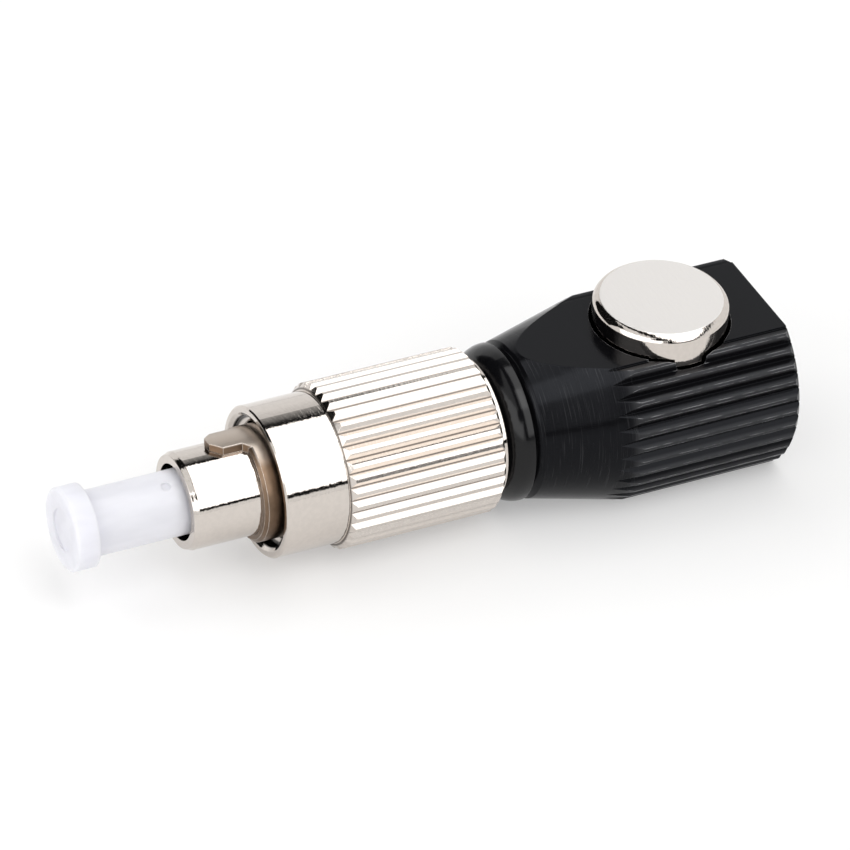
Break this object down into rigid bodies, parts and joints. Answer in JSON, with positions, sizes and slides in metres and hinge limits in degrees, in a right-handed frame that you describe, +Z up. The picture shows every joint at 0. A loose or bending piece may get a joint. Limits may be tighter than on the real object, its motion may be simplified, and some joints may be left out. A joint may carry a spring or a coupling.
{
  "type": "bare fibre adapter",
  "caption": "Bare fibre adapter: a ferrule plug with a knurled coupling nut and dust cap on a fluted black grip, whose push button opens a clamp for a bare optical fibre.",
  "frame": {"origin": "middle of the part's length and width, at the level of the nut's lowest crests", "axes": "+X along the plug axis towards the fibre entry, +Z up through the button, -X out of the plug's nose"},
  "size_m": [0.0456, 0.0126, 0.0116],
  "materials": {
    "cap_plastic": "translucent white, soft sheen",
    "zirconia": "polished white ceramic",
    "flange_metal": "nickel plated",
    "nickel_plate": "bright warm nickel plate",
    "key_metal": "dark bronze grey, satin",
    "black_anodised": "black anodised, satin",
    "black_gloss": "black anodised, glossy",
    "button_plate": "bright nickel plate with a satin top",
    "spring_steel": "drawn steel"
  },
  "bodies": {
    "adapter": {"plug_nose": "nickel_plate", "key_ring": "key_metal", "rear_collar": "black_gloss", "grip_body": "black_anodised", "guide_tube": "spring_steel", "ferrule_spring": "spring_steel", "button_spring": "spring_steel"},
    "nut": {"coupling_nut": "nickel_plate"},
    "button": {"push_button": "button_plate"},
    "ferrule_unit": {"ferrule": "zirconia", "ferrule_flange": "flange_metal"},
    "cap": {"dust_cap": "cap_plastic"}
  },
  "joints": [
    {"name": "nut_turn", "type": "hinge", "parent": "adapter", "child": "nut", "pos_m": [-0.00327, 0, 0.00508], "axis": [1, 0, 0], "continuous": true},
    {"name": "button_press", "type": "slide", "parent": "adapter", "child": "button", "axis": [0, 0, -1], "range_m": [0, 0.001], "stiffness_N_per_m": 1500, "deforming": ["button_spring"]},
    {"name": "ferrule_float", "type": "slide", "parent": "adapter", "child": "ferrule_unit", "axis": [1, 0, 0], "range_m": [0, 0.001], "stiffness_N_per_m": 4000, "deforming": ["ferrule_spring"]},
    {"name": "cap_pull", "type": "slide", "parent": "ferrule_unit", "child": "cap", "axis": [-1, 0, 0], "range_m": [0, 0.012]}
  ]
}
